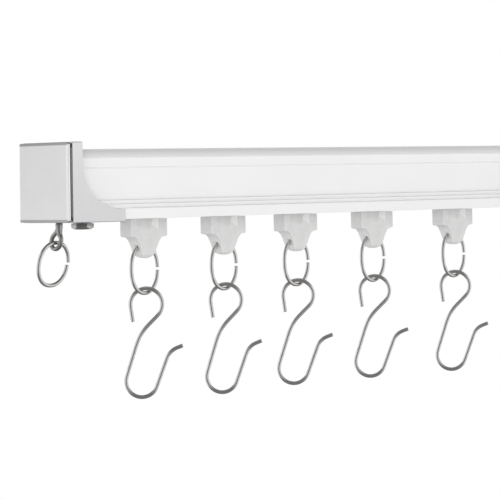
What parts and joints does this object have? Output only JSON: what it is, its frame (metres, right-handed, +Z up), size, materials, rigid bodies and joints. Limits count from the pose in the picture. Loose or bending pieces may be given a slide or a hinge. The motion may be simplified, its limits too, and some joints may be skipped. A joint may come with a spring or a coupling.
{
  "type": "curtain hanging track",
  "caption": "Straight hanging curtain track: a white rail with square metal end caps, wheeled nylon gliders in its underside, and an oval ring and S-hook on each glider.",
  "frame": {"origin": "on the rail's flat top face, half way along the rail and over its slot", "axes": "+X along the rail, -Y is the front with the stepped foot, +Z up"},
  "size_m": [0.3852, 0.032, 0.1049],
  "materials": {
    "white_rail": "smooth satin white paint on an extruded rail",
    "satin_metal": "fine satin, silver grey",
    "bright_wire": "bright nickel-plated round wire",
    "plain_steel": "plated steel fasteners and pins",
    "glider_nylon": "translucent milky moulded nylon",
    "wheel_nylon": "moulded white nylon"
  },
  "bodies": {
    "track": {"rail": "white_rail", "end_cap_left": "satin_metal", "end_cap_right": "satin_metal", "cover_plate_left": "satin_metal", "cover_plate_right": "satin_metal", "clamp_screw_left": "plain_steel", "clamp_screw_right": "plain_steel", "clamp_nut_left": "plain_steel", "clamp_nut_right": "plain_steel", "eye_left": "bright_wire", "eye_right": "bright_wire"},
    "end_ring_left": {"end_ring_left": "bright_wire"},
    "end_ring_right": {"end_ring_right": "bright_wire"},
    "glider_1": {"glider_body_1": "glider_nylon", "glider_axle_1": "plain_steel"},
    "wheel_front_1": {"wheel_front_1": "wheel_nylon"},
    "wheel_back_1": {"wheel_back_1": "wheel_nylon"},
    "ring_1": {"ring_1": "bright_wire"},
    "hook_1": {"hook_1": "bright_wire"},
    "glider_2": {"glider_body_2": "glider_nylon", "glider_axle_2": "plain_steel"},
    "wheel_front_2": {"wheel_front_2": "wheel_nylon"},
    "wheel_back_2": {"wheel_back_2": "wheel_nylon"},
    "ring_2": {"ring_2": "bright_wire"},
    "hook_2": {"hook_2": "bright_wire"},
    "glider_3": {"glider_body_3": "glider_nylon", "glider_axle_3": "plain_steel"},
    "wheel_front_3": {"wheel_front_3": "wheel_nylon"},
    "wheel_back_3": {"wheel_back_3": "wheel_nylon"},
    "ring_3": {"ring_3": "bright_wire"},
    "hook_3": {"hook_3": "bright_wire"},
    "glider_4": {"glider_body_4": "glider_nylon", "glider_axle_4": "plain_steel"},
    "wheel_front_4": {"wheel_front_4": "wheel_nylon"},
    "wheel_back_4": {"wheel_back_4": "wheel_nylon"},
    "ring_4": {"ring_4": "bright_wire"},
    "hook_4": {"hook_4": "bright_wire"},
    "glider_5": {"glider_body_5": "glider_nylon", "glider_axle_5": "plain_steel"},
    "wheel_front_5": {"wheel_front_5": "wheel_nylon"},
    "wheel_back_5": {"wheel_back_5": "wheel_nylon"},
    "ring_5": {"ring_5": "bright_wire"},
    "hook_5": {"hook_5": "bright_wire"},
    "glider_6": {"glider_body_6": "glider_nylon", "glider_axle_6": "plain_steel"},
    "wheel_front_6": {"wheel_front_6": "wheel_nylon"},
    "wheel_back_6": {"wheel_back_6": "wheel_nylon"},
    "ring_6": {"ring_6": "bright_wire"},
    "hook_6": {"hook_6": "bright_wire"},
    "glider_7": {"glider_body_7": "glider_nylon", "glider_axle_7": "plain_steel"},
    "wheel_front_7": {"wheel_front_7": "wheel_nylon"},
    "wheel_back_7": {"wheel_back_7": "wheel_nylon"},
    "ring_7": {"ring_7": "bright_wire"},
    "hook_7": {"hook_7": "bright_wire"}
  },
  "joints": [
    {"name": "end_ring_left_swing", "type": "hinge", "parent": "track", "child": "end_ring_left", "pos_m": [-0.1845, 0.0003, -0.03755], "axis": [1, 0, 0], "range_deg": [-45, 10]},
    {"name": "end_ring_right_swing", "type": "hinge", "parent": "track", "child": "end_ring_right", "pos_m": [0.1845, 0.0003, -0.03755], "axis": [1, 0, 0], "range_deg": [-45, 10]},
    {"name": "glider_1_slide", "type": "slide", "parent": "track", "child": "glider_1", "axis": [1, 0, 0], "range_m": [-0.0129, 0.012]},
    {"name": "wheel_front_1_spin", "type": "hinge", "parent": "glider_1", "child": "wheel_front_1", "pos_m": [-0.139, -0.00405, -0.02195], "axis": [0, 1, 0], "continuous": true},
    {"name": "wheel_back_1_spin", "type": "hinge", "parent": "glider_1", "child": "wheel_back_1", "pos_m": [-0.139, 0.00405, -0.02195], "axis": [0, 1, 0], "continuous": true},
    {"name": "ring_1_swing", "type": "hinge", "parent": "glider_1", "child": "ring_1", "pos_m": [-0.139, 0, -0.03945], "axis": [1, 0, 0], "range_deg": [-25, 25]},
    {"name": "hook_1_swing", "type": "hinge", "parent": "ring_1", "child": "hook_1", "pos_m": [-0.139, 0, -0.05915], "axis": [1, 0, 0], "range_deg": [-30, 30]},
    {"name": "glider_2_slide", "type": "slide", "parent": "track", "child": "glider_2", "axis": [1, 0, 0], "range_m": [-0.012, 0.011]},
    {"name": "wheel_front_2_spin", "type": "hinge", "parent": "glider_2", "child": "wheel_front_2", "pos_m": [-0.0951, -0.00405, -0.02195], "axis": [0, 1, 0], "continuous": true},
    {"name": "wheel_back_2_spin", "type": "hinge", "parent": "glider_2", "child": "wheel_back_2", "pos_m": [-0.0951, 0.00405, -0.02195], "axis": [0, 1, 0], "continuous": true},
    {"name": "ring_2_swing", "type": "hinge", "parent": "glider_2", "child": "ring_2", "pos_m": [-0.0951, 0, -0.03945], "axis": [1, 0, 0], "range_deg": [-25, 25]},
    {"name": "hook_2_swing", "type": "hinge", "parent": "ring_2", "child": "hook_2", "pos_m": [-0.0951, 0, -0.05915], "axis": [1, 0, 0], "range_deg": [-30, 30]},
    {"name": "glider_3_slide", "type": "slide", "parent": "track", "child": "glider_3", "axis": [1, 0, 0], "range_m": [-0.011, 0.0135]},
    {"name": "wheel_front_3_spin", "type": "hinge", "parent": "glider_3", "child": "wheel_front_3", "pos_m": [-0.053, -0.00405, -0.02195], "axis": [0, 1, 0], "continuous": true},
    {"name": "wheel_back_3_spin", "type": "hinge", "parent": "glider_3", "child": "wheel_back_3", "pos_m": [-0.053, 0.00405, -0.02195], "axis": [0, 1, 0], "continuous": true},
    {"name": "ring_3_swing", "type": "hinge", "parent": "glider_3", "child": "ring_3", "pos_m": [-0.053, 0, -0.03945], "axis": [1, 0, 0], "range_deg": [-25, 25]},
    {"name": "hook_3_swing", "type": "hinge", "parent": "ring_3", "child": "hook_3", "pos_m": [-0.053, 0, -0.05915], "axis": [1, 0, 0], "range_deg": [-30, 30]},
    {"name": "glider_4_slide", "type": "slide", "parent": "track", "child": "glider_4", "axis": [1, 0, 0], "range_m": [-0.0135, 0.0161]},
    {"name": "wheel_front_4_spin", "type": "hinge", "parent": "glider_4", "child": "wheel_front_4", "pos_m": [-0.0061, -0.00405, -0.02195], "axis": [0, 1, 0], "continuous": true},
    {"name": "wheel_back_4_spin", "type": "hinge", "parent": "glider_4", "child": "wheel_back_4", "pos_m": [-0.0061, 0.00405, -0.02195], "axis": [0, 1, 0], "continuous": true},
    {"name": "ring_4_swing", "type": "hinge", "parent": "glider_4", "child": "ring_4", "pos_m": [-0.0061, 0, -0.03945], "axis": [1, 0, 0], "range_deg": [-25, 25]},
    {"name": "hook_4_swing", "type": "hinge", "parent": "ring_4", "child": "hook_4", "pos_m": [-0.0061, 0, -0.05915], "axis": [1, 0, 0], "range_deg": [-30, 30]},
    {"name": "glider_5_slide", "type": "slide", "parent": "track", "child": "glider_5", "axis": [1, 0, 0], "range_m": [-0.0161, 0.0139]},
    {"name": "wheel_front_5_spin", "type": "hinge", "parent": "glider_5", "child": "wheel_front_5", "pos_m": [0.0462, -0.00405, -0.02195], "axis": [0, 1, 0], "continuous": true},
    {"name": "wheel_back_5_spin", "type": "hinge", "parent": "glider_5", "child": "wheel_back_5", "pos_m": [0.0462, 0.00405, -0.02195], "axis": [0, 1, 0], "continuous": true},
    {"name": "ring_5_swing", "type": "hinge", "parent": "glider_5", "child": "ring_5", "pos_m": [0.0462, 0, -0.03945], "axis": [1, 0, 0], "range_deg": [-25, 25]},
    {"name": "hook_5_swing", "type": "hinge", "parent": "ring_5", "child": "hook_5", "pos_m": [0.0462, 0, -0.05915], "axis": [1, 0, 0], "range_deg": [-30, 30]},
    {"name": "glider_6_slide", "type": "slide", "parent": "track", "child": "glider_6", "axis": [1, 0, 0], "range_m": [-0.0139, 0.0138]},
    {"name": "wheel_front_6_spin", "type": "hinge", "parent": "glider_6", "child": "wheel_front_6", "pos_m": [0.094, -0.00405, -0.02195], "axis": [0, 1, 0], "continuous": true},
    {"name": "wheel_back_6_spin", "type": "hinge", "parent": "glider_6", "child": "wheel_back_6", "pos_m": [0.094, 0.00405, -0.02195], "axis": [0, 1, 0], "continuous": true},
    {"name": "ring_6_swing", "type": "hinge", "parent": "glider_6", "child": "ring_6", "pos_m": [0.094, 0, -0.03945], "axis": [1, 0, 0], "range_deg": [-25, 25]},
    {"name": "hook_6_swing", "type": "hinge", "parent": "ring_6", "child": "hook_6", "pos_m": [0.094, 0, -0.05915], "axis": [1, 0, 0], "range_deg": [-30, 30]},
    {"name": "glider_7_slide", "type": "slide", "parent": "track", "child": "glider_7", "axis": [1, 0, 0], "range_m": [-0.0138, 0.0104]},
    {"name": "wheel_front_7_spin", "type": "hinge", "parent": "glider_7", "child": "wheel_front_7", "pos_m": [0.1415, -0.00405, -0.02195], "axis": [0, 1, 0], "continuous": true},
    {"name": "wheel_back_7_spin", "type": "hinge", "parent": "glider_7", "child": "wheel_back_7", "pos_m": [0.1415, 0.00405, -0.02195], "axis": [0, 1, 0], "continuous": true},
    {"name": "ring_7_swing", "type": "hinge", "parent": "glider_7", "child": "ring_7", "pos_m": [0.1415, 0, -0.03945], "axis": [1, 0, 0], "range_deg": [-25, 25]},
    {"name": "hook_7_swing", "type": "hinge", "parent": "ring_7", "child": "hook_7", "pos_m": [0.1415, 0, -0.05915], "axis": [1, 0, 0], "range_deg": [-30, 30]}
  ],
  "couplings": [
    {"joint": "wheel_front_1_spin", "follows": "glider_1_slide", "rad_per_m": 238.1},
    {"joint": "wheel_back_1_spin", "follows": "glider_1_slide", "rad_per_m": 238.1},
    {"joint": "wheel_front_2_spin", "follows": "glider_2_slide", "rad_per_m": 238.1},
    {"joint": "wheel_back_2_spin", "follows": "glider_2_slide", "rad_per_m": 238.1},
    {"joint": "wheel_front_3_spin", "follows": "glider_3_slide", "rad_per_m": 238.1},
    {"joint": "wheel_back_3_spin", "follows": "glider_3_slide", "rad_per_m": 238.1},
    {"joint": "wheel_front_4_spin", "follows": "glider_4_slide", "rad_per_m": 238.1},
    {"joint": "wheel_back_4_spin", "follows": "glider_4_slide", "rad_per_m": 238.1},
    {"joint": "wheel_front_5_spin", "follows": "glider_5_slide", "rad_per_m": 238.1},
    {"joint": "wheel_back_5_spin", "follows": "glider_5_slide", "rad_per_m": 238.1},
    {"joint": "wheel_front_6_spin", "follows": "glider_6_slide", "rad_per_m": 238.1},
    {"joint": "wheel_back_6_spin", "follows": "glider_6_slide", "rad_per_m": 238.1},
    {"joint": "wheel_front_7_spin", "follows": "glider_7_slide", "rad_per_m": 238.1},
    {"joint": "wheel_back_7_spin", "follows": "glider_7_slide", "rad_per_m": 238.1}
  ]
}
